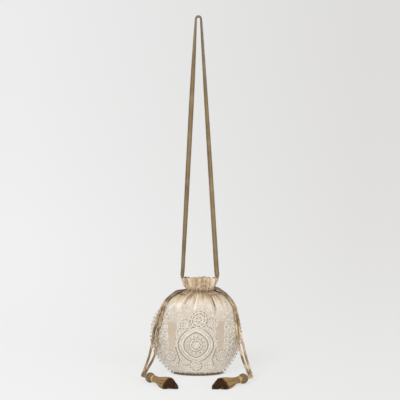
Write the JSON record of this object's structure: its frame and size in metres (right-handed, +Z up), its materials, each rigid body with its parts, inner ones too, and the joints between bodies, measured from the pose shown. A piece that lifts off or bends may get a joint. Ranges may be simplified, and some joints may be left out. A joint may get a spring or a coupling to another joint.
{
  "type": "potli bag",
  "caption": "Embroidered satin potli bag with a gathered neck, two tasselled drawcords, a beaded seam and a long strap.",
  "frame": {"origin": "middle of the flattened base, on the floor", "axes": "+Z up the bag towards the strap, -Y out of the front panel, +X to the right seen from the front"},
  "size_m": [0.2419, 0.1879, 0.785],
  "materials": {
    "fabric": "satin",
    "lining": "satin",
    "cord": "matte",
    "strap": "matte",
    "beads": "gloss",
    "ball": "satin",
    "band": "satin",
    "tassel": "satin",
    "embroidery": "satin"
  },
  "bodies": {
    "root": {"front_panel": "fabric", "back_panel": "fabric", "lining": "lining", "drawcord_left": "cord", "drawcord_right": "cord", "strap": "strap", "bead_edging": "beads", "tassel_left_ball": "ball", "tassel_left_band": "band", "tassel_left_skirt": "tassel", "tassel_right_ball": "ball", "tassel_right_band": "band", "tassel_right_skirt": "tassel", "medallion_front": "embroidery", "pointed_frame_front": "embroidery", "roundel_front": "embroidery", "roundel_bud_front": "embroidery", "base_flower_front": "embroidery", "medallion_back": "embroidery", "pointed_frame_back": "embroidery", "roundel_back": "embroidery", "roundel_bud_back": "embroidery", "base_flower_back": "embroidery"}
  },
  "joints": []
}
